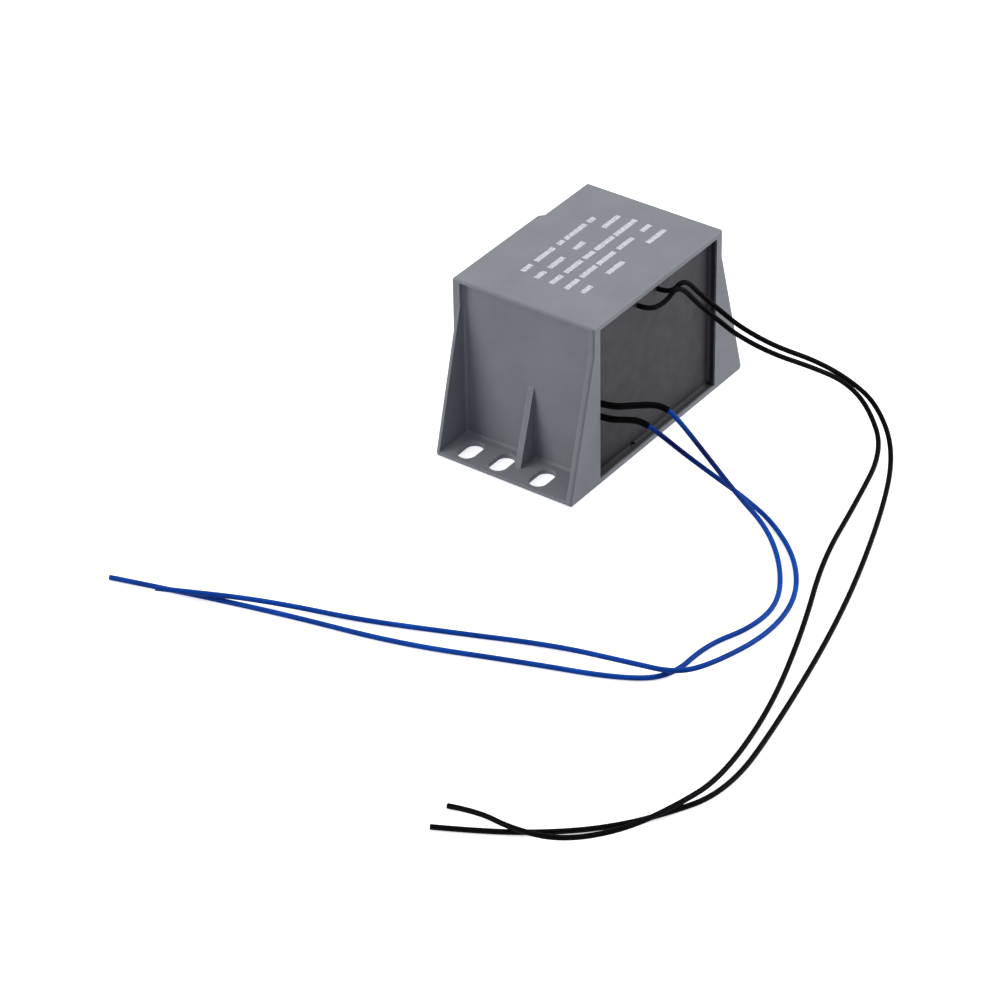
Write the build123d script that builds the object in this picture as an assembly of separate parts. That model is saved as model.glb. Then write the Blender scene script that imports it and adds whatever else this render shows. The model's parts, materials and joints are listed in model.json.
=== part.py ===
"""Potted control transformer: a moulded case with slotted feet, a core and coil set in resin, four leads."""
import os
from math import radians, tan

from build123d import *

# Sizes are in millimetres. X runs along the width, the open potted face looks to -Y, Z is up.

# Core: E and I laminations that lie in the XZ plane and are stacked along Y
TONGUE_WIDTH = 22.0
SIDE_LEG_WIDTH = 11.0
YOKE_HEIGHT = 11.0
WINDOW_WIDTH = 11.0
WINDOW_HEIGHT = 33.0
STACK_DEPTH = 25.0

# Bobbin: a tube around the tongue with two end flanges and a divider between the windings
TUBE_GAP = 0.3
TUBE_WALL = 1.2
FLANGE_THICKNESS = 1.0
FLANGE_SIDE_GAP = 0.4
FLANGE_END_GAP = 0.2
DIVIDER_THICKNESS = 1.2
PRIMARY_SECTION = 13.5
NOTCH_WIDTH = 1.8

# Windings and the tape over them
COIL_BUILD = 8.8
TAPE_THICKNESS = 0.4
FLANGE_RIM = 0.3
WINDING_CORNER = 5.0
TAIL_DIAMETER = 0.9
TAIL_INSET = 1.2
TAIL_ROOT = 1.0

# Case walls and the room left around the core and coil
SIDE_WALL = 1.2
TOP_WALL = 2.0
FLOOR_WALL = 2.0
BACK_WALL = 2.0
CORE_SIDE_GAP = 0.5
CORE_END_GAP = 0.85
COIL_BACK_GAP = 1.2
COIL_COVER = 2.2
RESIN_RECESS = 2.6

# Outside of the case: overhanging top, flared wings, slotted feet, ribs and the step on the back
TOP_OVERHANG = 2.3
TOP_LIP = 1.0
WING_SHOULDER = 10.0
FRONT_WING = 2.0
BACK_WING = 1.4
BAY_CORNER = 1.0
FOOT_REACH = 15.3
FOOT_THICKNESS = 1.8
FOOT_CORNER = 1.2
SLOT_LENGTH = 10.6
SLOT_WIDTH = 6.4
SLOT_OFFSET = 8.3
BACK_SLOT_INSET = 9.0
SLOT_PITCH = 12.5
FRONT_SLOT_INSET = 16.2
RIB_THICKNESS = 2.2
RIB_INSET = 26.0
RIB_REACH = 8.2
RIB_HEIGHT = 27.3
RIB_ROOT = 0.6
PAD_DEPTH = 1.6
PAD_REACH = 47.5
PAD_RAMP = 1.8
EDGE_ROUND = 0.8

# Resin surface: it climbs a little at the walls and has one bubble at the lower edge
MENISCUS_RISE = 0.5
MENISCUS_WIDTH = 0.9
MENISCUS_MARGIN = 0.05
BUBBLE_RADIUS = 1.6
BUBBLE_OFFSET = -11.8

# Leads, their straight runs out of the resin, their sleeves and the splices to the winding ends
LEAD_DIAMETER = 1.7
LEAD_DEPTH = 2.0
SLEEVE_GAP = 0.05
SLEEVE_WALL = 0.25
SPLICE_DIAMETER = 3.0
SPLICE_LENGTH = 4.0
BLACK_EXIT_X = (-9.2, 2.1)
BLACK_EXIT_DROP = (4.1, 3.5)
BLUE_EXIT_INSET = 2.3
BLUE_EXIT_DROP = (1.55, 6.55)
BLACK_RUN_OUT = (4.8, 4.4)
BLUE_RUN_OUT = (4.8, 4.0)
FIT_GAP = 0.05

# Heights of a lead's centre: lying on the table, and lying over another lead
LAID = 0.9
OVER = 3.0

# Core and coil
core_width = TONGUE_WIDTH + 2 * (WINDOW_WIDTH + SIDE_LEG_WIDTH)
core_height = WINDOW_HEIGHT + 2 * YOKE_HEIGHT
core_bottom = FLOOR_WALL + CORE_END_GAP
window_bottom = core_bottom + YOKE_HEIGHT
window_top = window_bottom + WINDOW_HEIGHT
bobbin_bottom = window_bottom + FLANGE_END_GAP
bobbin_top = window_top - FLANGE_END_GAP
primary_top = bobbin_top - FLANGE_THICKNESS
primary_bottom = primary_top - PRIMARY_SECTION
secondary_top = primary_bottom - DIVIDER_THICKNESS
secondary_bottom = bobbin_bottom + FLANGE_THICKNESS
hole_half_x = TONGUE_WIDTH / 2 + TUBE_GAP
hole_half_y = STACK_DEPTH / 2 + TUBE_GAP
tube_half_x = hole_half_x + TUBE_WALL
tube_half_y = hole_half_y + TUBE_WALL
flange_half_x = TONGUE_WIDTH / 2 + WINDOW_WIDTH - FLANGE_SIDE_GAP
flange_half_y = tube_half_y + COIL_BUILD
tape_half_x = flange_half_x - FLANGE_RIM
tape_half_y = flange_half_y - FLANGE_RIM
winding_half_x = tape_half_x - TAPE_THICKNESS
winding_half_y = tape_half_y - TAPE_THICKNESS

# Case
cavity_half = core_width / 2 + CORE_SIDE_GAP
wall_half = cavity_half + SIDE_WALL
top_half = wall_half + TOP_OVERHANG
foot_half = wall_half + FOOT_REACH
case_height = FLOOR_WALL + core_height + 2 * CORE_END_GAP + TOP_WALL
cavity_top = case_height - TOP_WALL
case_depth = RESIN_RECESS + COIL_COVER + 2 * flange_half_y + COIL_BACK_GAP + BACK_WALL
front_y = -(case_depth + PAD_DEPTH) / 2
back_y = front_y + case_depth
resin_y = front_y + RESIN_RECESS
cavity_back_y = back_y - BACK_WALL
coil_y = resin_y + COIL_COVER + flange_half_y
slot_x = wall_half + SLOT_OFFSET
back_slot_y = back_y - BACK_SLOT_INSET
middle_slot_y = back_slot_y - SLOT_PITCH
front_slot_y = front_y + FRONT_SLOT_INSET
rib_y = front_y + RIB_INSET

# Leads
lead_end_y = resin_y + LEAD_DEPTH
splice_end_y = lead_end_y + SPLICE_LENGTH
tail_y = coil_y - tube_half_y - TAIL_INSET
sleeve_bore = LEAD_DIAMETER + 2 * SLEEVE_GAP
sleeve_diameter = sleeve_bore + 2 * SLEEVE_WALL
blue_exit_x = BLUE_EXIT_INSET - cavity_half
black_exits = [(x, cavity_top - drop) for x, drop in zip(BLACK_EXIT_X, BLACK_EXIT_DROP)]
blue_exits = [(blue_exit_x, secondary_top - drop) for drop in BLUE_EXIT_DROP]

# Lead routes after the first straight run out of the resin, as they lie on the table
BLACK_FIRST = [
    (-1.6, -31.8, 53.3), (5.2, -33.0, 57.3), (11.0, -39.0, 46.2), (12.0, -49.5, 40.5), (17.5, -59.5, 34.5),
    (27.0, -69.0, 28.0), (36.0, -76.5, 20.5), (39.5, -83.5, 11.5), (30.0, -95.0, 3.5), (2.0, -101.5, LAID),
    (-29.5, -109.0, LAID), (-64.0, -123.5, LAID), (-103.0, -136.5, LAID), (-139.5, -143.0, 1.9),
    (-159.0, -140.0, OVER), (-177.0, -133.5, OVER), (-190.5, -121.5, OVER), (-194.0, -107.0, OVER),
    (-192.0, -94.0, 1.8), (-194.0, -84.5, LAID),
]
BLACK_SECOND = [
    (8.0, -31.8, 58.4), (14.5, -38.0, 47.8), (14.5, -49.5, 42.0), (19.5, -59.5, 36.2), (28.5, -69.0, 29.8),
    (38.5, -76.0, 21.8), (42.5, -85.5, 12.0), (32.5, -97.5, 3.5), (4.5, -110.5, LAID), (-48.0, -128.5, LAID),
    (-105.0, -144.0, LAID), (-143.0, -147.5, LAID), (-164.5, -136.5, LAID), (-177.5, -126.5, LAID),
    (-188.0, -114.5, LAID), (-197.5, -100.0, LAID), (-204.5, -86.0, LAID),
]
BLUE_FIRST = [
    (-24.0, -34.6, 28.0), (-17.0, -39.6, 26.3), (-16.0, -44.8, 23.2), (-18.5, -57.5, 15.4), (-21.5, -72.0, 6.6),
    (-25.5, -86.0, 1.5), (-39.5, -100.0, LAID), (-56.5, -110.0, LAID), (-72.0, -110.0, LAID),
    (-87.0, -103.5, LAID), (-106.5, -103.5, LAID), (-116.0, -91.5, LAID), (-126.0, -62.0, LAID),
    (-139.5, -26.5, LAID), (-147.0, 10.0, LAID), (-155.5, 43.0, LAID), (-163.0, 69.0, LAID),
]
BLUE_SECOND = [
    (-26.3, -33.3, 23.2), (-23.1, -35.8, 22.0), (-21.5, -40.9, 19.2), (-20.5, -51.0, 13.8), (-18.0, -61.0, 7.6),
    (-15.0, -70.5, 2.6), (-20.5, -85.5, LAID), (-34.5, -102.5, LAID), (-52.0, -113.5, LAID),
    (-72.0, -116.0, LAID), (-95.5, -112.0, OVER), (-106.5, -105.5, 3.1), (-109.0, -90.0, 2.1),
    (-113.5, -65.5, LAID), (-126.0, -35.5, LAID), (-136.5, -9.0, LAID), (-143.5, 13.0, 1.5),
    (-150.5, 27.0, OVER), (-157.0, 41.5, OVER), (-161.5, 51.5, OVER),
]
SLEEVED_POINTS = 4


def block(x_min, x_max, y_min, y_max, z_min, z_max):
    """A plain box between two values on each axis."""
    middle = ((x_min + x_max) / 2, (y_min + y_max) / 2, (z_min + z_max) / 2)
    return Pos(*middle) * Box(x_max - x_min, y_max - y_min, z_max - z_min)


def coil_block(half_x, half_y, z_min, z_max, corner=0.0):
    """A block centred on the tongue, with rounded upright corners if a radius is given."""
    outline = RectangleRounded(2 * half_x, 2 * half_y, corner) if corner else Rectangle(2 * half_x, 2 * half_y)
    return extrude(Pos(0, coil_y, z_min) * outline, z_max - z_min)


def rod(x, z, y_min, y_max, diameter):
    """A round bar that runs along Y."""
    return Pos(x, (y_min + y_max) / 2, z) * Rot(90, 0, 0) * Cylinder(diameter / 2, y_max - y_min)


def tube_along(path, diameter):
    """A round bar swept along a path, mitred where the path has a sharp corner."""
    start = Plane(origin=path @ 0, z_dir=path % 0)
    return sweep(start * Circle(diameter / 2), path=path, transition=Transition.RIGHT)


def side_rib(side):
    """Triangular rib that stands on one foot and leans on the side wall."""
    outline = Polyline(
        (side * (wall_half - RIB_ROOT), FOOT_THICKNESS - RIB_ROOT),
        (side * (wall_half + RIB_REACH), FOOT_THICKNESS - RIB_ROOT),
        (side * (wall_half + RIB_REACH), FOOT_THICKNESS),
        (side * wall_half, FOOT_THICKNESS + RIB_HEIGHT),
        (side * (wall_half - RIB_ROOT), FOOT_THICKNESS + RIB_HEIGHT),
        close=True,
    )
    plane = Plane.XZ.offset(-rib_y - RIB_THICKNESS / 2)
    return extrude(plane * make_face(outline), RIB_THICKNESS)


def side_bay(side):
    """Room between the wings, above the foot and below the overhanging top, with rounded inner edges."""
    reach = 2 * FOOT_REACH
    bay = block(0, reach, front_y + FRONT_WING, back_y - BACK_WING, FOOT_THICKNESS, case_height - TOP_LIP)
    bay = fillet(bay.faces().sort_by(Axis.X)[0].edges(), BAY_CORNER)
    placed = Pos(wall_half, 0, 0) * bay
    return placed if side > 0 else mirror(placed, Plane.YZ)


def make_case():
    """One-piece moulding: flared outline, open front, side bays, slotted feet, ribs and back step."""
    case = flared_block() + back_pad()
    case -= block(-cavity_half, cavity_half, front_y, cavity_back_y, FLOOR_WALL, cavity_top)
    for side in (-1, 1):
        case -= side_bay(side)
        case += side_rib(side)
        for slot_y in (back_slot_y, middle_slot_y, front_slot_y):
            slot = SlotOverall(SLOT_LENGTH, SLOT_WIDTH)
            case -= extrude(Pos(side * slot_x, slot_y, 0) * slot, FOOT_THICKNESS)
    return case


def flared_block():
    """Outline of the wings, feet and top, run through the depth of the case and rounded at its edges."""
    half_outline = [(foot_half, 0), (foot_half, FOOT_THICKNESS), (top_half, case_height - WING_SHOULDER),
                    (top_half, case_height)]
    outline = Polyline(*half_outline, *[(-x, z) for x, z in reversed(half_outline)], close=True)
    section = fillet(make_face(outline).vertices().sort_by(Axis.Y)[:2], FOOT_CORNER)
    solid = extrude(Plane.XZ.offset(-back_y) * section, case_depth)
    ends = solid.faces().filter_by(Axis.Y).edges().filter_by(lambda edge: edge.center().Z > FOOT_CORNER)
    top = solid.faces().sort_by(Axis.Z)[-1].edges().filter_by(Axis.Y)
    return fillet(ends + top, EDGE_ROUND)


def back_pad():
    """Thicker part of the back wall at the left, which ramps down to the rest of the wall."""
    root_y = back_y - 2 * EDGE_ROUND
    ramp_end = PAD_REACH + PAD_RAMP - top_half
    plan = Polyline(
        (-top_half, root_y),
        (-top_half, back_y + PAD_DEPTH),
        (PAD_REACH - top_half, back_y + PAD_DEPTH),
        (ramp_end, back_y),
        (ramp_end, root_y),
        close=True,
    )
    pad = extrude(make_face(plan), case_height)
    back = pad.faces().sort_by(Axis.Y)[-1].edges().filter_by(lambda edge: edge.center().Z > 0)
    top = pad.faces().sort_by(Axis.Z)[-1].edges()
    left = top.filter_by(Axis.Y).sort_by(Axis.X)[:1]
    ramp = top.filter_by(lambda edge: back_y < edge.center().Y < back_y + PAD_DEPTH)
    return fillet(back + left + ramp, EDGE_ROUND)


def make_core_e():
    """E laminations, with the yoke on top and three legs down."""
    core = block(-core_width / 2, core_width / 2, coil_y - STACK_DEPTH / 2, coil_y + STACK_DEPTH / 2,
                 window_bottom, window_top + YOKE_HEIGHT)
    for side in (-1, 1):
        middle = side * (TONGUE_WIDTH + WINDOW_WIDTH) / 2
        core -= block(middle - WINDOW_WIDTH / 2, middle + WINDOW_WIDTH / 2, coil_y - STACK_DEPTH / 2,
                      coil_y + STACK_DEPTH / 2, window_bottom, window_top)
    return core


def make_core_i():
    """I laminations that close the legs below."""
    return block(-core_width / 2, core_width / 2, coil_y - STACK_DEPTH / 2, coil_y + STACK_DEPTH / 2,
                 core_bottom, window_bottom)


def make_bobbin():
    """Tube with two flanges and a divider, notched at the front for the primary winding's ends."""
    bobbin = coil_block(tube_half_x, tube_half_y, bobbin_bottom, bobbin_top)
    bobbin += coil_block(flange_half_x, flange_half_y, bobbin_bottom, secondary_bottom)
    bobbin += coil_block(flange_half_x, flange_half_y, secondary_top, primary_bottom)
    bobbin += coil_block(flange_half_x, flange_half_y, primary_top, bobbin_top)
    bobbin -= coil_block(hole_half_x, hole_half_y, bobbin_bottom, bobbin_top)
    for x, z in black_exits:
        bobbin -= flange_notch(x)
    return bobbin


def flange_notch(x):
    """Open notch in the upper flange, from its front edge to just behind a winding end."""
    return block(x - NOTCH_WIDTH / 2, x + NOTCH_WIDTH / 2, coil_y - flange_half_y, tail_y + NOTCH_WIDTH / 2,
                 primary_top, bobbin_top)


def primary_tails():
    """Routes of the winding's ends, which drop from the splices through the notches."""
    return [Polyline((x, splice_end_y, z), (x, tail_y, z), (x, tail_y, primary_top - TAIL_ROOT))
            for x, z in black_exits]


def secondary_tails():
    """Routes of the winding's ends, which turn from the splices to the side of the winding."""
    return [Polyline((x, splice_end_y, z), (x, tail_y, z), (TAIL_ROOT - winding_half_x, tail_y, z))
            for x, z in blue_exits]


def make_winding(z_min, z_max, tails):
    """Wound copper between two flanges, with its two ends led out."""
    winding = coil_block(winding_half_x, winding_half_y, z_min, z_max, WINDING_CORNER)
    winding -= coil_block(tube_half_x, tube_half_y, z_min, z_max)
    for path in tails:
        winding += tube_along(path, TAIL_DIAMETER)
    return winding


def make_tape(z_min, z_max, tails):
    """Tape around a winding, pierced where the winding's ends come out at its side."""
    tape = coil_block(tape_half_x, tape_half_y, z_min, z_max, WINDING_CORNER + TAPE_THICKNESS)
    tape -= coil_block(winding_half_x + FIT_GAP, winding_half_y + FIT_GAP, z_min, z_max, WINDING_CORNER + FIT_GAP)
    for path in tails:
        tape -= tube_along(path, TAIL_DIAMETER + 2 * FIT_GAP)
    return tape


def resin_front():
    """Hollow of the resin's front: it rises at the four walls, and a bubble lies at the lower edge."""
    middle_z = (FLOOR_WALL + cavity_top) / 2
    width = 2 * (cavity_half - MENISCUS_MARGIN)
    height = cavity_top - FLOOR_WALL - 2 * MENISCUS_MARGIN
    inset = 2 * MENISCUS_WIDTH
    outer = Plane.XZ.offset(-resin_y + MENISCUS_RISE) * Pos(0, middle_z) * Rectangle(width, height)
    inner = Plane.XZ.offset(-resin_y) * Pos(0, middle_z) * Rectangle(width - inset, height - inset)
    bubble = Pos(BUBBLE_OFFSET, resin_y - MENISCUS_RISE, FLOOR_WALL) * Sphere(BUBBLE_RADIUS)
    return loft([outer.face(), inner.face()]) + bubble


def make_resin(core, splice_cuts, tails):
    """Resin that fills the case around the core, coil, splices and lead ends."""
    resin = block(-cavity_half, cavity_half, resin_y - MENISCUS_RISE, cavity_back_y, FLOOR_WALL, cavity_top)
    resin -= resin_front()
    for piece in core:
        resin -= piece
    resin -= coil_block(hole_half_x, hole_half_y, window_bottom, window_top)
    for z_min, z_max in ((bobbin_bottom, secondary_bottom), (secondary_top, primary_bottom),
                         (primary_top, bobbin_top)):
        resin -= coil_block(flange_half_x, flange_half_y, z_min, z_max)
    for z_min, z_max in ((secondary_bottom, secondary_top), (primary_bottom, primary_top)):
        corner = WINDING_CORNER + TAPE_THICKNESS + FIT_GAP
        resin -= coil_block(tape_half_x + FIT_GAP, tape_half_y + FIT_GAP, z_min, z_max, corner)
    for cut in splice_cuts:
        resin -= cut
    for path in tails:
        resin -= tube_along(path, TAIL_DIAMETER + 2 * FIT_GAP)
    return resin


def splice_cut(x, z, lead_size):
    """Room in the resin for one splice and the lead that goes in to it."""
    lead_hole = rod(x, z, resin_y - MENISCUS_RISE, lead_end_y, lead_size + 2 * FIT_GAP)
    return lead_hole + rod(x, z, lead_end_y, splice_end_y, SPLICE_DIAMETER + 2 * FIT_GAP)


def bend_radius(before, corner, after):
    """Radius of the arc at a corner, which takes up 0.45 of the shorter run on each side."""
    arriving = Vector(*corner) - Vector(*before)
    leaving = Vector(*after) - Vector(*corner)
    turn = arriving.get_angle(leaving)
    return 0.45 * min(arriving.length, leaving.length) / tan(radians(turn) / 2)


def lead_route(exit_place, run_out, laid_points):
    """All corner points of a lead from its inner end, and the bend radius at each inner corner."""
    x, z = exit_place
    points = [(x, lead_end_y, z), (x, resin_y - run_out, z), *laid_points]
    radii = [bend_radius(*points[i - 1:i + 2]) for i in range(1, len(points) - 1)]
    return points, radii


def make_lead(name, exit_place, run_out, laid_points):
    """One lead, from its splice to its cut end."""
    points, radii = lead_route(exit_place, run_out, laid_points)
    path = FilletPolyline(*points, radius=radii)
    print(name, "length", round(path.length, 1), "radii", [round(radius, 1) for radius in radii])
    return tube_along(path, LEAD_DIAMETER)


def make_sleeve(exit_place, run_out, laid_points):
    """Sleeve over the start of a lead, up to the middle of a straight run."""
    points, radii = lead_route(exit_place, run_out, laid_points)
    last = Vector(*points[SLEEVED_POINTS - 1])
    end = (last + Vector(*points[SLEEVED_POINTS])) / 2
    path = FilletPolyline(*points[:SLEEVED_POINTS], tuple(end), radius=radii[:SLEEVED_POINTS - 1])
    return tube_along(path, sleeve_diameter) - tube_along(path, sleeve_bore)


def build():
    """All pieces by name."""
    tails_primary = primary_tails()
    tails_secondary = secondary_tails()
    black_laid = (BLACK_FIRST, BLACK_SECOND)
    blue_laid = (BLUE_FIRST, BLUE_SECOND)
    pieces = {
        "case": make_case(),
        "core_e_stack": make_core_e(),
        "core_i_stack": make_core_i(),
        "bobbin": make_bobbin(),
        "primary_winding": make_winding(primary_bottom, primary_top, tails_primary),
        "secondary_winding": make_winding(secondary_bottom, secondary_top, tails_secondary),
        "primary_tape": make_tape(primary_bottom, primary_top, []),
        "secondary_tape": make_tape(secondary_bottom, secondary_top, tails_secondary),
    }
    splice_cuts = []
    for number in range(2):
        x, z = black_exits[number]
        pieces[f"primary_splice_{number + 1}"] = rod(x, z, lead_end_y, splice_end_y, SPLICE_DIAMETER)
        black_route = ((x, z), BLACK_RUN_OUT[number], black_laid[number])
        pieces[f"black_lead_{number + 1}"] = make_lead("black", *black_route)
        splice_cuts.append(splice_cut(x, z, LEAD_DIAMETER))
        x, z = blue_exits[number]
        pieces[f"secondary_splice_{number + 1}"] = rod(x, z, lead_end_y, splice_end_y, SPLICE_DIAMETER)
        blue_route = ((x, z), BLUE_RUN_OUT[number], blue_laid[number])
        pieces[f"blue_lead_{number + 1}"] = make_lead("blue", *blue_route)
        pieces[f"lead_sleeve_{number + 1}"] = make_sleeve(*blue_route)
        splice_cuts.append(splice_cut(x, z, sleeve_diameter))
    core = (pieces["core_e_stack"], pieces["core_i_stack"])
    pieces["resin"] = make_resin(core, splice_cuts, tails_primary + tails_secondary)
    return pieces


os.makedirs("parts", exist_ok=True)
for node_name, solid in build().items():
    export_step(solid, f"parts/{node_name}.step")
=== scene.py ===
import json
import math

import bmesh
import bpy
from mathutils import Matrix, Vector, noise


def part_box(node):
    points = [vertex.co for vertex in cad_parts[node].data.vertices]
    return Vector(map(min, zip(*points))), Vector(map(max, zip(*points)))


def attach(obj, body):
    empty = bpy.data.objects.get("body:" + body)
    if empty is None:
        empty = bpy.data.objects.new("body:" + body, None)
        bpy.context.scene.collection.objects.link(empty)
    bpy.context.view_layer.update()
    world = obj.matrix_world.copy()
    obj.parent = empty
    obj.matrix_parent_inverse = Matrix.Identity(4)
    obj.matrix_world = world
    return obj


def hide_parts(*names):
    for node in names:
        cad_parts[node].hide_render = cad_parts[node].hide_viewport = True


# Potted control transformer: grey moulded case, dark resin face, two black and two blue leads on a table.
# Lengths are in metres in the part's frame, unless a name ends in _MM. Routes of leads are in millimetres.

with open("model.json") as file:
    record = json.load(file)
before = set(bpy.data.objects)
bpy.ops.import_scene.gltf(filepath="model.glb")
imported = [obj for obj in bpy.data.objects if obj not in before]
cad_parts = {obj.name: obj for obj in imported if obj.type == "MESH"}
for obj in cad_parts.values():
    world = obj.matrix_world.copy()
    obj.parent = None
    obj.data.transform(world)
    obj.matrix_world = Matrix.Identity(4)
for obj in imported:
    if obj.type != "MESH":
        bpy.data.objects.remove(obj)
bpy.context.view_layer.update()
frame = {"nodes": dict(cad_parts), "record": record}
nodes = frame["nodes"]
scene = bpy.context.scene
case_low, case_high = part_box("case")
resin_low, resin_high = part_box("resin")
MM = 0.001
X_AXIS = Vector((1, 0, 0))
Z_AXIS = Vector((0, 0, 1))

# Camera
CAMERA_AZIMUTH = math.radians(-53.71)
CAMERA_ELEVATION = math.radians(34.70)
CAMERA_ROLL = math.radians(-1.07)
CAMERA_DISTANCE = 1.3218
CAMERA_AIM_MM = (-31.3, 14.2, -23.6)
LENS_MM = 144.0
SENSOR_MM = 36.0

# Table and light: where each light stands, its size and its power
FLOOR_HALF = 3.0
SKY_COLOUR = (0.98, 0.96, 1.35, 1)
SKY_STRENGTH = 0.3
LIGHT_AIM = (0, 0, 0.03)
LIGHTS = {
    "key": ((0.95, -0.95, 0.72), 0.9, 17.2),
    "side": ((-1.05, 0.85, 0.6), 1.0, 11.2),
    "rear": ((0.95, 0.75, 0.95), 0.7, 1.6),
    "above": ((0.1, 0, 1.5), 0.9, 7.1),
}

# Colours
COOL_TINT = (0.955, 1.01, 1.0)
RESIN_TINT = (1.0, 0.98, 1.05)
BLUE_DARK = (0.001, 0.0375, 0.24, 1)
BLUE_BRIGHT = (0.002, 0.07, 0.385, 1)
# Painted shade of the blue leads where they hang free
BLUE_PAINTED_SHADE = (0.0, 0.006, 0.085, 1)
BOBBIN_DARK = (0.7, 0.66, 0.55, 1)
BOBBIN_BRIGHT = (0.8, 0.77, 0.68, 1)
COPPER_DARK = (0.4, 0.16, 0.07, 1)
COPPER_BRIGHT = (0.6, 0.27, 0.12, 1)
TAPE_DARK = (0.6, 0.45, 0.08, 1)
TAPE_BRIGHT = (0.75, 0.58, 0.13, 1)
NOISE_ROUGHNESS = 0.55

# Rows of the print: the middle of each row in Y, and where its bars start and end in X
PRINT_HEIGHT_MM = 1.9
PRINT_ROWS_MM = {
    11.2: [(-21, -16), (-13.5, -3.5), (-1, 2), (3, 14.5), (16, 19.5)],
    5.2: [(-22, -17), (-14.5, -6.5), (-0.5, 5), (16, 25)],
    -0.7: [(-22, -16), (-14, -5), (-3.5, 2), (3, 13), (14, 26)],
    -6.4: [(-22, -15), (-13.5, -5), (-4, 5.5), (7.5, 16), (21, 26)],
    -12.1: [(-21, -16), (-7, 2), (16, 26)],
}

# Leads, with sleeves on the blue ones, collars of resin around them and copper strands at their cut ends
LEAD_DIAMETER = 1.7 * MM
LEAD_END_Y_MM = -23.0
RESIN_Y_MM = -25.0
SLEEVE_DIAMETER = 2.3 * MM
SLEEVE_BORE = 1.8 * MM
SLEEVE_UNEVEN = 0.06 * MM
SLEEVE_WAVE = 2.2 * MM
SLEEVE_SIDES = 28
SLEEVE_ENDS_MM = {"blue_lead_1": (-16.5, -42.2, 24.75), "blue_lead_2": (-22.3, -38.35, 20.6)}
COLLAR_RISE = 0.45 * MM
COLLAR_WIDTH = 0.8 * MM
COLLAR_EDGE = 0.02 * MM
COLLAR_ROOT = 0.1 * MM
COLLAR_STEPS = 7
COLLAR_SIDES = 32
STRAND_RADIUS = 0.19 * MM
STRAND_SPACING = 2.1 * STRAND_RADIUS
STRANDS_AROUND = 6
STRAND_SIDES = 12
# A strand's tip: how far each ring lies past the cut, and its share of the strand's radius
STRAND_TIP = ((-0.3 * MM, 1.0), (0.02 * MM, 1.0), (0.05 * MM, 0.8), (0.07 * MM, 0.4))


def lead_points(exit_x, exit_z, run_out, sag, laid_points):
    """Route of a lead: inner end, end of the run out of the resin after a slight sag, then as it lies."""
    return [(exit_x, LEAD_END_Y_MM, exit_z), (exit_x, RESIN_Y_MM - run_out, exit_z - sag), *laid_points]


# Heights of a lead's middle on the table and over another lead
LAID = 0.9
OVER = 3.0
ROUTES = {
    "black_lead_1": lead_points(-9.2, 54.6, 4.0, 0.5, [
        (-2.6, -31.2, 53.8), (3.4, -32.6, 58.6), (9.2, -36.4, 49.4), (11.9, -42.4, 44.1),
        (12.0, -49.5, 40.9), (17.5, -59.5, 34.5), (26.8, -69.1, 27.9), (35.6, -76.4, 20.4),
        (38.9, -83.6, 11.5), (30.2, -94.8, 3.5), (2.0, -101.5, LAID), (-29.5, -109.0, LAID),
        (-64.0, -123.5, LAID), (-103.0, -136.5, LAID), (-139.5, -143.0, 1.9), (-159.0, -140.0, OVER),
        (-177.0, -133.5, OVER), (-190.5, -121.5, OVER), (-194.0, -107.0, OVER), (-192.0, -94.0, 1.8),
        (-194.0, -84.5, LAID),
    ]),
    "black_lead_2": lead_points(2.1, 55.2, 5.2, 0.8, [
        (7.0, -32.2, 58.8), (11.8, -35.4, 51.6), (14.7, -41.4, 45.8), (14.5, -49.5, 42.4),
        (19.5, -59.5, 36.2), (28.5, -69.0, 29.6), (37.6, -76.2, 20.4), (41.8, -85.0, 11.6),
        (32.5, -97.5, 3.5), (4.5, -110.5, LAID), (-48.0, -128.5, LAID), (-104.0, -141.4, LAID),
        (-143.0, -147.5, LAID), (-164.5, -136.5, LAID), (-177.5, -126.5, LAID), (-188.0, -114.5, LAID),
        (-197.5, -100.0, LAID), (-204.5, -86.0, LAID),
    ]),
    "blue_lead_1": lead_points(-31.2, 29.4, 4.8, 0.0, [
        (-24.0, -34.6, 28.0), (-17.0, -39.6, 26.3), (-16.0, -44.8, 23.2), (-18.5, -57.5, 15.4),
        (-21.5, -72.0, 6.6), (-25.5, -86.0, 1.5), (-39.5, -100.0, LAID), (-56.5, -110.0, LAID),
        (-72.0, -110.0, LAID), (-87.0, -103.5, LAID), (-106.5, -103.5, LAID), (-116.0, -91.5, LAID),
        (-126.0, -62.0, LAID), (-139.5, -26.5, LAID), (-147.0, 10.0, LAID), (-155.5, 43.0, LAID),
        (-163.0, 69.0, LAID),
    ]),
    "blue_lead_2": lead_points(-31.2, 24.4, 4.0, 0.0, [
        (-26.3, -33.3, 23.2), (-23.1, -35.8, 22.0), (-21.5, -40.9, 19.2), (-20.5, -51.0, 13.8),
        (-18.0, -61.0, 7.6), (-16.2, -70.9, 2.4), (-21.3, -85.8, LAID), (-34.5, -102.5, LAID),
        (-52.0, -113.5, LAID), (-72.0, -116.0, LAID), (-95.5, -112.0, OVER), (-106.5, -105.5, 3.1),
        (-109.0, -90.0, 2.1), (-113.5, -65.5, LAID), (-126.0, -35.5, LAID), (-136.5, -9.0, LAID),
        (-143.5, 13.0, 1.5), (-150.5, 27.0, OVER), (-157.0, 41.5, OVER), (-161.5, 51.5, OVER),
    ]),
}


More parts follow.
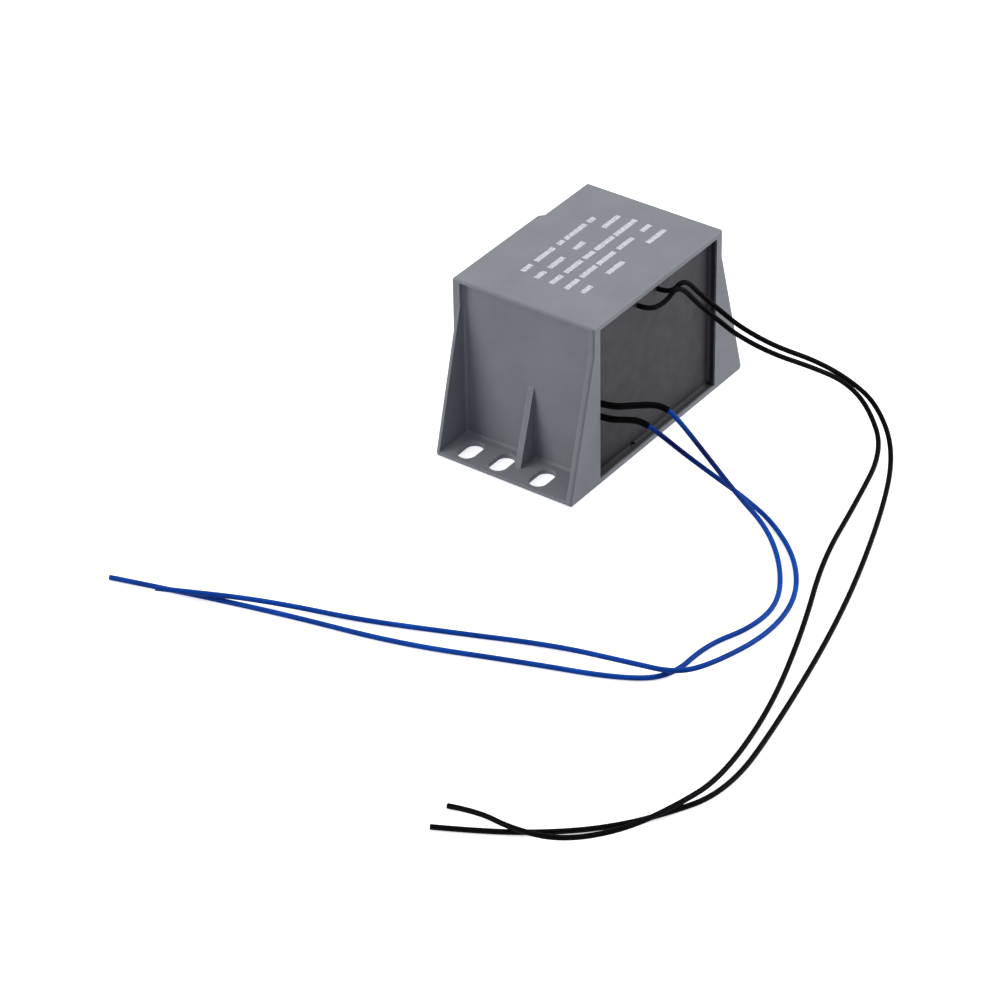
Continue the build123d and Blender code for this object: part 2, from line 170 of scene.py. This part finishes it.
class Shader:
    """A procedural material, and short ways to add nodes to it in the part's own coordinates."""

    def __init__(self, name):
        self.material = bpy.data.materials.new(name)
        self.material.use_nodes = True
        self.tree = self.material.node_tree
        self.principled = self.tree.nodes["Principled BSDF"]
        self.coordinates = self.add("ShaderNodeTexCoord").outputs["Object"]

    def add(self, kind, **values):
        """A new node with the given settings."""
        node = self.tree.nodes.new(kind)
        for name, value in values.items():
            setattr(node, name, value)
        return node

    def feed(self, socket, value):
        """Links an input to another node's output, or sets its value."""
        if isinstance(value, bpy.types.NodeSocket):
            self.tree.links.new(value, socket)
        else:
            socket.default_value = value

    def axes(self):
        """The three coordinates."""
        split = self.add("ShaderNodeSeparateXYZ")
        self.feed(split.inputs[0], self.coordinates)
        return split.outputs

    def noise(self, size, detail):
        """Noise whose grains are about the given size."""
        node = self.add("ShaderNodeTexNoise")
        self.feed(node.inputs["Vector"], self.coordinates)
        self.feed(node.inputs["Scale"], 1 / size)
        self.feed(node.inputs["Detail"], detail)
        self.feed(node.inputs["Roughness"], NOISE_ROUGHNESS)
        return node.outputs["Fac"]

    def math(self, operation, first, second=0.0, third=0.0):
        """The result of a calculation with up to three values."""
        node = self.add("ShaderNodeMath", operation=operation)
        for socket, value in zip(node.inputs, (first, second, third)):
            self.feed(socket, value)
        return node.outputs[0]

    def product(self, *factors):
        """The factors multiplied with each other."""
        result = factors[0]
        for factor in factors[1:]:
            result = self.math("MULTIPLY", result, factor)
        return result

    def span(self, value, low, high, to_low, to_high):
        """The value mapped from one span to another, and held at its ends."""
        node = self.add("ShaderNodeMapRange")
        for socket, number in zip(node.inputs, (value, low, high, to_low, to_high)):
            self.feed(socket, number)
        return node.outputs[0]

    def mix(self, share, first, second):
        """A colour between two colours."""
        node = self.add("ShaderNodeMix", data_type="RGBA")
        self.feed(node.inputs[0], share)
        self.feed(node.inputs[6], first)
        self.feed(node.inputs[7], second)
        return node.outputs[2]

    def bump(self, height, depth, strength):
        """Fine relief from a height between 0 and 1."""
        node = self.add("ShaderNodeBump")
        self.feed(node.inputs["Height"], height)
        self.feed(node.inputs["Distance"], depth)
        self.feed(node.inputs["Strength"], strength)
        self.feed(self.principled.inputs["Normal"], node.outputs["Normal"])

    def set(self, **values):
        """The material, with the given looks."""
        for name, value in values.items():
            label = name.replace("_", " ").title().replace("Ior", "IOR")
            self.feed(self.principled.inputs[label], value)
        return self.material


def grey(level, tint=(1.0, 1.0, 1.0)):
    """A grey, or a near grey with a tint."""
    return (level * tint[0], level * tint[1], level * tint[2], 1.0)


def edge_share(shader, radius):
    """Share that rises from 0 on flat faces to 1 along edges rounded to about the given radius."""
    bevel = shader.add("ShaderNodeBevel", samples=6)
    shader.feed(bevel.inputs["Radius"], radius)
    geometry = shader.add("ShaderNodeNewGeometry")
    dot = shader.add("ShaderNodeVectorMath", operation="DOT_PRODUCT")
    shader.feed(dot.inputs[0], bevel.outputs["Normal"])
    shader.feed(dot.inputs[1], geometry.outputs["Normal"])
    return shader.span(dot.outputs["Value"], 0.99, 0.8, 0.0, 1.0)


def case_plastic():
    """Grey moulding with a matt grain, a painted highlight along its rounded edges, pale print on top, and a
    dark resin film with painted shade inside its front.
    """
    shader = Shader("case_plastic")
    cloud = shader.span(shader.noise(16 * MM, 4), 0.3, 0.7, 0, 1)
    body = shader.mix(cloud, grey(0.222, COOL_TINT), grey(0.252, COOL_TINT))
    grain = shader.noise(0.3 * MM, 2)
    body = shader.mix(shader.span(grain, 0.35, 0.65, 0, 0.2), body, grey(0.185, COOL_TINT))
    # Painted highlight: rounded edges mixed toward a paler grey, standing in for light caught on them.
    painted_edge_highlight = shader.product(edge_share(shader, 0.6 * MM), 0.3)
    body = shader.mix(painted_edge_highlight, body, grey(0.5, COOL_TINT))
    body = shader.mix(print_share(shader), body, grey(0.66))
    # Dark resin film and painted shade on the inner walls of the open front.
    colour = shader.mix(resin_film_and_painted_shade(shader), body, grey(0.012))
    rough = shader.span(shader.noise(3 * MM, 3), 0.3, 0.7, 0.58, 0.68)
    shader.bump(grain, 0.025 * MM, 0.5)
    return shader.set(base_color=colour, roughness=rough, specular_ior_level=0.3)


def print_share(shader):
    """Share of pale ink: rows of plain bars on the top face, a little uneven as from a worn stamp."""
    wobble = shader.product(shader.math("SUBTRACT", shader.noise(1.1 * MM, 2), 0.5), 0.7 * MM)
    x, y, z = shader.axes()
    uneven_x = shader.math("ADD", x, wobble)
    uneven_y = shader.math("ADD", y, wobble)
    ink = 0.0
    for row_y, spans in PRINT_ROWS_MM.items():
        row = 0.0
        for start, end in spans:
            bar = shader.math("COMPARE", uneven_x, (start + end) / 2 * MM, (end - start) / 2 * MM)
            row = shader.math("MAXIMUM", row, bar)
        band = shader.math("COMPARE", uneven_y, row_y * MM, PRINT_HEIGHT_MM / 2 * MM)
        ink = shader.math("MAXIMUM", ink, shader.product(row, band))
    on_top = shader.math("GREATER_THAN", z, case_high.z - 0.05 * MM)
    worn = shader.span(shader.noise(0.8 * MM, 3), 0.35, 0.6, 0.45, 1.0)
    return shader.product(ink, on_top, worn)


def resin_film_and_painted_shade(shader):
    """Share of dark resin film and painted shade: on the inner walls of the open front, up to an uneven line
    near the rim, a little paler near the floor of the recess as painted light.
    """
    x, y, z = shader.axes()
    middle_z = (resin_low.z + resin_high.z) / 2
    half_z = (resin_high.z - resin_low.z) / 2 + 0.1 * MM
    from_middle_z = shader.math("ABSOLUTE", shader.math("SUBTRACT", z, middle_z))
    within_x = shader.math("LESS_THAN", shader.math("ABSOLUTE", x), resin_high.x + 0.1 * MM)
    within_z = shader.math("LESS_THAN", from_middle_z, half_z)
    rim = shader.math("ADD", y, shader.product(shader.noise(4 * MM, 3), -0.5 * MM))
    behind_rim = shader.span(rim, case_low.y + 0.2 * MM, case_low.y + 0.6 * MM, 0, 1)
    before_core = shader.math("LESS_THAN", y, resin_low.y + 3 * MM)
    # Painted light: the share is lower near the floor of the recess, where more light falls from above.
    paler_low_painted_light = shader.span(z, resin_low.z + 0.5 * MM, resin_low.z + 3 * MM, 0.85, 1)
    return shader.product(within_x, within_z, behind_rim, before_core, paler_low_painted_light)


def potting_resin():
    """Dark cast resin with a soft sheen and fine pits, and a painted shadow of the sleeves in the corner
    below the blue leads.
    """
    shader = Shader("potting_resin")
    x, _, z = shader.axes()
    cloud = shader.span(shader.noise(9 * MM, 5), 0.32, 0.68, 0, 1)
    colour = shader.mix(cloud, grey(0.02, RESIN_TINT), grey(0.03, RESIN_TINT))
    # Painted shadow: the resin goes darker towards the lower left corner, below the sleeves of the blue
    # leads.
    low = shader.span(z, resin_low.z + 16 * MM, resin_low.z + 30 * MM, 0.85, 0)
    painted_shadow_left = shader.span(x, resin_low.x + 6 * MM, resin_low.x + 28 * MM, 1, 0)
    colour = shader.mix(shader.product(low, painted_shadow_left), colour, grey(0.002, RESIN_TINT))
    specks = shader.span(shader.noise(0.55 * MM, 2), 0.64, 0.72, 0, 0.5)
    colour = shader.mix(specks, colour, grey(0.012, RESIN_TINT))
    rough = shader.span(shader.noise(5 * MM, 3), 0.3, 0.7, 0.42, 0.52)
    waves = shader.math("ADD", shader.noise(7 * MM, 2), shader.product(specks, -0.12))
    shader.bump(waves, 0.2 * MM, 0.45)
    return shader.set(base_color=colour, roughness=rough, specular_ior_level=0.18)


def insulation(name, dark, bright, painted_shade_colour, roughness, specular):
    """Smooth plastic insulation with faint streaks and a soft sheen, and painted shade where it hangs free
    between the table and the sleeves.
    """
    shader = Shader(name)
    cloud = shader.span(shader.noise(14 * MM, 3), 0.3, 0.7, 0, 1)
    colour = shader.mix(cloud, dark, bright)
    _, _, z = shader.axes()
    # Painted shade: a darker colour where the lead hangs in the air above the table, fading out again just
    # below the sleeves.
    above_table = shader.span(z, 3 * MM, 15 * MM, 0, 1)
    below_sleeve = shader.span(z, 17.5 * MM, 22 * MM, 1, 0)
    colour = shader.mix(shader.math("MINIMUM", above_table, below_sleeve), colour, painted_shade_colour)
    rough = shader.span(shader.noise(2.5 * MM, 3), 0.3, 0.7, roughness - 0.06, roughness + 0.08)
    shader.bump(shader.noise(0.6 * MM, 2), 0.02 * MM, 0.4)
    return shader.set(base_color=colour, roughness=rough, specular_ior_level=specular)


def black_plastic(name, roughness, specular):
    """Insulation in black."""
    return insulation(name, grey(0.001), grey(0.002), grey(0.0015), roughness, specular)


def plain_grained(name, dark, bright, grain_size, roughness, metallic=0.0):
    """Uneven material for the pieces in the resin and for the strands."""
    shader = Shader(name)
    colour = shader.mix(shader.noise(grain_size, 3), dark, bright)
    shader.bump(shader.noise(grain_size / 4, 2), 0.02 * MM, 0.4)
    return shader.set(base_color=colour, roughness=roughness, metallic=metallic)


MATERIALS = {
    "case_plastic": case_plastic(),
    "potting_resin": potting_resin(),
    "black_insulation": black_plastic("black_insulation", 0.55, 0.05),
    "blue_insulation": insulation("blue_insulation", BLUE_DARK, BLUE_BRIGHT, BLUE_PAINTED_SHADE, 0.45, 0.08),
    "sleeve_plastic": black_plastic("sleeve_plastic", 0.7, 0.03),
    "core_steel": plain_grained("core_steel", grey(0.24), grey(0.4), 1 * MM, 0.45, 0.9),
    "bobbin_plastic": plain_grained("bobbin_plastic", BOBBIN_DARK, BOBBIN_BRIGHT, 4 * MM, 0.5),
    "winding_copper": plain_grained("winding_copper", COPPER_DARK, COPPER_BRIGHT, 0.6 * MM, 0.35, 0.9),
    "coil_tape": plain_grained("coil_tape", TAPE_DARK, TAPE_BRIGHT, 3 * MM, 0.3),
    "splice_metal": plain_grained("splice_metal", grey(0.5), grey(0.62), 0.5 * MM, 0.35, 0.9),
}


def dress_solids():
    """Gives every solid of the part the material of its slot."""
    for part in frame["record"]["subparts"]:
        node = nodes[part["node"]]
        node.data.materials.clear()
        node.data.materials.append(MATERIALS[part["material_slot"]])


def place(piece, slot):
    """Links a piece, gives it the material of a slot, and fixes it to the part."""
    scene.collection.objects.link(piece)
    piece.data.materials.append(MATERIALS[slot])
    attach(piece, "root")
    return piece


def add_lead(name, slot):
    """One lead as a smooth curve along its route's control points."""
    curve = bpy.data.curves.new(name + "_line", "CURVE")
    curve.dimensions = "3D"
    curve.resolution_u = 12
    curve.bevel_depth = LEAD_DIAMETER / 2
    curve.bevel_resolution = 5
    curve.use_fill_caps = True
    spline = curve.splines.new("NURBS")
    route = ROUTES[name]
    spline.points.add(len(route) - 1)
    for point, place_mm in zip(spline.points, route):
        point.co = (*(Vector(place_mm) * MM), 1)
    spline.order_u = 3
    spline.use_endpoint_u = True
    lead = place(bpy.data.objects.new(name + "_wire", curve), slot)
    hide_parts(name)
    return lead


def centreline(lead):
    """Points along a lead's curve, from its inner end."""
    bare = lead.copy()
    bare.data = lead.data.copy()
    bare.data.bevel_depth = 0
    bare.data.use_fill_caps = False
    mesh = bpy.data.meshes.new_from_object(bare)
    points = [vertex.co.copy() for vertex in mesh.vertices]
    bpy.data.meshes.remove(mesh)
    bpy.data.objects.remove(bare)
    return points


def rings_mesh(name, rings, closed=False):
    """Mesh skin over a row of rings of as many points each, capped at both ends unless it is closed."""
    mesh = bmesh.new()
    rows = [[mesh.verts.new(point) for point in ring] for ring in rings]
    next_rows = rows[1:] + rows[:1] if closed else rows[1:]
    count = len(rings[0])
    for lower, upper in zip(rows, next_rows):
        for i in range(count):
            j = (i + 1) % count
            mesh.faces.new((lower[i], lower[j], upper[j], upper[i]))
    if not closed:
        mesh.faces.new(list(reversed(rows[0])))
        mesh.faces.new(rows[-1])
    bmesh.ops.recalc_face_normals(mesh, faces=mesh.faces)
    data = bpy.data.meshes.new(name)
    mesh.to_mesh(data)
    mesh.free()
    data.polygons.foreach_set("use_smooth", [True] * len(data.polygons))
    return data


def joined(name, ring_sets):
    """One object from several skinned rows of rings."""
    mesh = bmesh.new()
    for rings in ring_sets:
        part = rings_mesh(name + "_part", rings)
        mesh.from_mesh(part)
        bpy.data.meshes.remove(part)
    data = bpy.data.meshes.new(name)
    mesh.to_mesh(data)
    mesh.free()
    return bpy.data.objects.new(name, data)


def cross_axes(direction, hint):
    """Two directions at right angles to the given one, the first as near to the hint as can be."""
    first = (hint - direction * hint.dot(direction)).normalized()
    return first, direction.cross(first)


def circle(middle, first, second, radius, count):
    """Points of a circle in the plane of two directions."""
    turns = [2 * math.pi * i / count for i in range(count)]
    return [middle + (first * math.cos(turn) + second * math.sin(turn)) * radius for turn in turns]


def add_sleeve(number, lead):
    """Shrunk sleeve over the start of a blue lead, a little uneven, with an open end."""
    end = Vector(SLEEVE_ENDS_MM[f"blue_lead_{number}"]) * MM
    line = centreline(lead)
    last = min(range(len(line)), key=lambda i: (line[i] - end).length)
    line = line[:last + 1]
    hint = Z_AXIS
    outer = []
    inner = []
    for i, point in enumerate(line):
        ahead = line[min(i + 1, last)] - line[max(i - 1, 0)]
        first, second = cross_axes(ahead.normalized(), hint)
        hint = first
        uneven = noise.noise(point / SLEEVE_WAVE) * SLEEVE_UNEVEN
        radius = SLEEVE_DIAMETER / 2 - SLEEVE_UNEVEN + uneven
        outer.append(circle(point, first, second, radius, SLEEVE_SIDES))
        inner.append(circle(point, first, second, SLEEVE_BORE / 2, SLEEVE_SIDES))
    mesh = rings_mesh(f"lead_sleeve_{number}_skin", outer + list(reversed(inner)), closed=True)
    sleeve = place(bpy.data.objects.new(f"lead_sleeve_{number}_skin", mesh), "sleeve_plastic")
    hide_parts(f"lead_sleeve_{number}")
    return sleeve


def add_strands(name, lead):
    """Copper strands that just show at the cut end of a lead: one in the middle and six around it."""
    line = centreline(lead)
    base = line[-1]
    direction = (base - line[-2]).normalized()
    first, second = cross_axes(direction, Z_AXIS)
    strands = []
    for middle in [base] + circle(base, first, second, STRAND_SPACING, STRANDS_AROUND):
        rings = []
        for rise, share in STRAND_TIP:
            ring_middle = middle + direction * rise
            rings.append(circle(ring_middle, first, second, STRAND_RADIUS * share, STRAND_SIDES))
        strands.append(rings)
    return place(joined(name + "_strands", strands), "winding_copper")


def exit_of(name):
    """Where a lead comes out of the resin."""
    x, _, z = ROUTES[name][0]
    return Vector((x, RESIN_Y_MM, z)) * MM


def add_collar(name, radius):
    """Resin that climbs a little way up a lead where it comes out."""
    middle = exit_of(name)
    rings = []
    for step in range(COLLAR_STEPS + 1):
        share = step / COLLAR_STEPS
        rise = COLLAR_RISE * (1 - math.sqrt(1 - (1 - share) ** 2)) + COLLAR_EDGE
        ring_middle = middle - Vector((0, rise, 0))
        rings.append(circle(ring_middle, X_AXIS, Z_AXIS, radius + COLLAR_WIDTH * share, COLLAR_SIDES))
    root = Vector((0, COLLAR_ROOT, 0))
    rings.append([point + root for point in rings[-1]])
    rings.append([point + root for point in circle(middle, X_AXIS, Z_AXIS, radius, COLLAR_SIDES)])
    mesh = rings_mesh(name + "_collar", rings, closed=True)
    place(bpy.data.objects.new(name + "_collar", mesh), "potting_resin")


def add_leads():
    """The four leads, each with its strands and collar, and with a sleeve if it is blue."""
    for name in ROUTES:
        colour, _, number = name.split("_")
        lead = add_lead(name, colour + "_insulation")
        fittings = [add_strands(name, lead)]
        if colour == "blue":
            fittings.append(add_sleeve(number, lead))
        add_collar(name, (SLEEVE_DIAMETER if colour == "blue" else LEAD_DIAMETER) / 2)


def add_camera():
    """Camera that looks down at the part from its front left."""
    data = bpy.data.cameras.new("camera")
    data.lens = LENS_MM
    data.sensor_width = SENSOR_MM
    data.clip_start = 0.01
    data.clip_end = 50
    camera = bpy.data.objects.new("camera", data)
    scene.collection.objects.link(camera)
    turn = Matrix.Rotation(CAMERA_AZIMUTH, 4, "Z") @ Matrix.Rotation(math.pi / 2 - CAMERA_ELEVATION, 4, "X")
    turn = turn @ Matrix.Rotation(CAMERA_ROLL, 4, "Z")
    back = turn.to_3x3() @ Z_AXIS
    camera.matrix_world = Matrix.Translation(Vector(CAMERA_AIM_MM) * MM + back * CAMERA_DISTANCE) @ turn
    scene.camera = camera


def add_floor():
    """Pale table top under the part, which glows a little but doesn't light the part."""
    mesh = bpy.data.meshes.new("floor")
    corners = [(x * FLOOR_HALF, y * FLOOR_HALF, 0) for x, y in ((-1, -1), (1, -1), (1, 1), (-1, 1))]
    mesh.from_pydata(corners, [], [(0, 1, 2, 3)])
    floor = bpy.data.objects.new("floor", mesh)
    scene.collection.objects.link(floor)
    shader = Shader("floor")
    colour = shader.mix(shader.noise(0.3, 2), grey(0.9), grey(0.93))
    glow = {"emission_color": (1, 1, 1, 1), "emission_strength": 0.6}
    mesh.materials.append(shader.set(base_color=colour, roughness=0.9, **glow))
    floor.visible_diffuse = False


def add_light():
    """Soft studio light: a key from the front right, one from each side behind, one above, and a dim sky."""
    world = bpy.data.worlds.new("studio")
    scene.world = world
    world.use_nodes = True
    background = world.node_tree.nodes["Background"]
    background.inputs["Color"].default_value = SKY_COLOUR
    background.inputs["Strength"].default_value = SKY_STRENGTH
    for name, (position, size, power) in LIGHTS.items():
        data = bpy.data.lights.new(name, "AREA")
        data.shape = "SQUARE"
        data.size = size
        data.energy = power
        light = bpy.data.objects.new(name, data)
        scene.collection.objects.link(light)
        light.location = position
        light.rotation_euler = (Vector(LIGHT_AIM) - Vector(position)).to_track_quat("-Z", "Y").to_euler()


add_camera()
dress_solids()
add_leads()
add_floor()
add_light()
scene.view_settings.view_transform = "Standard"
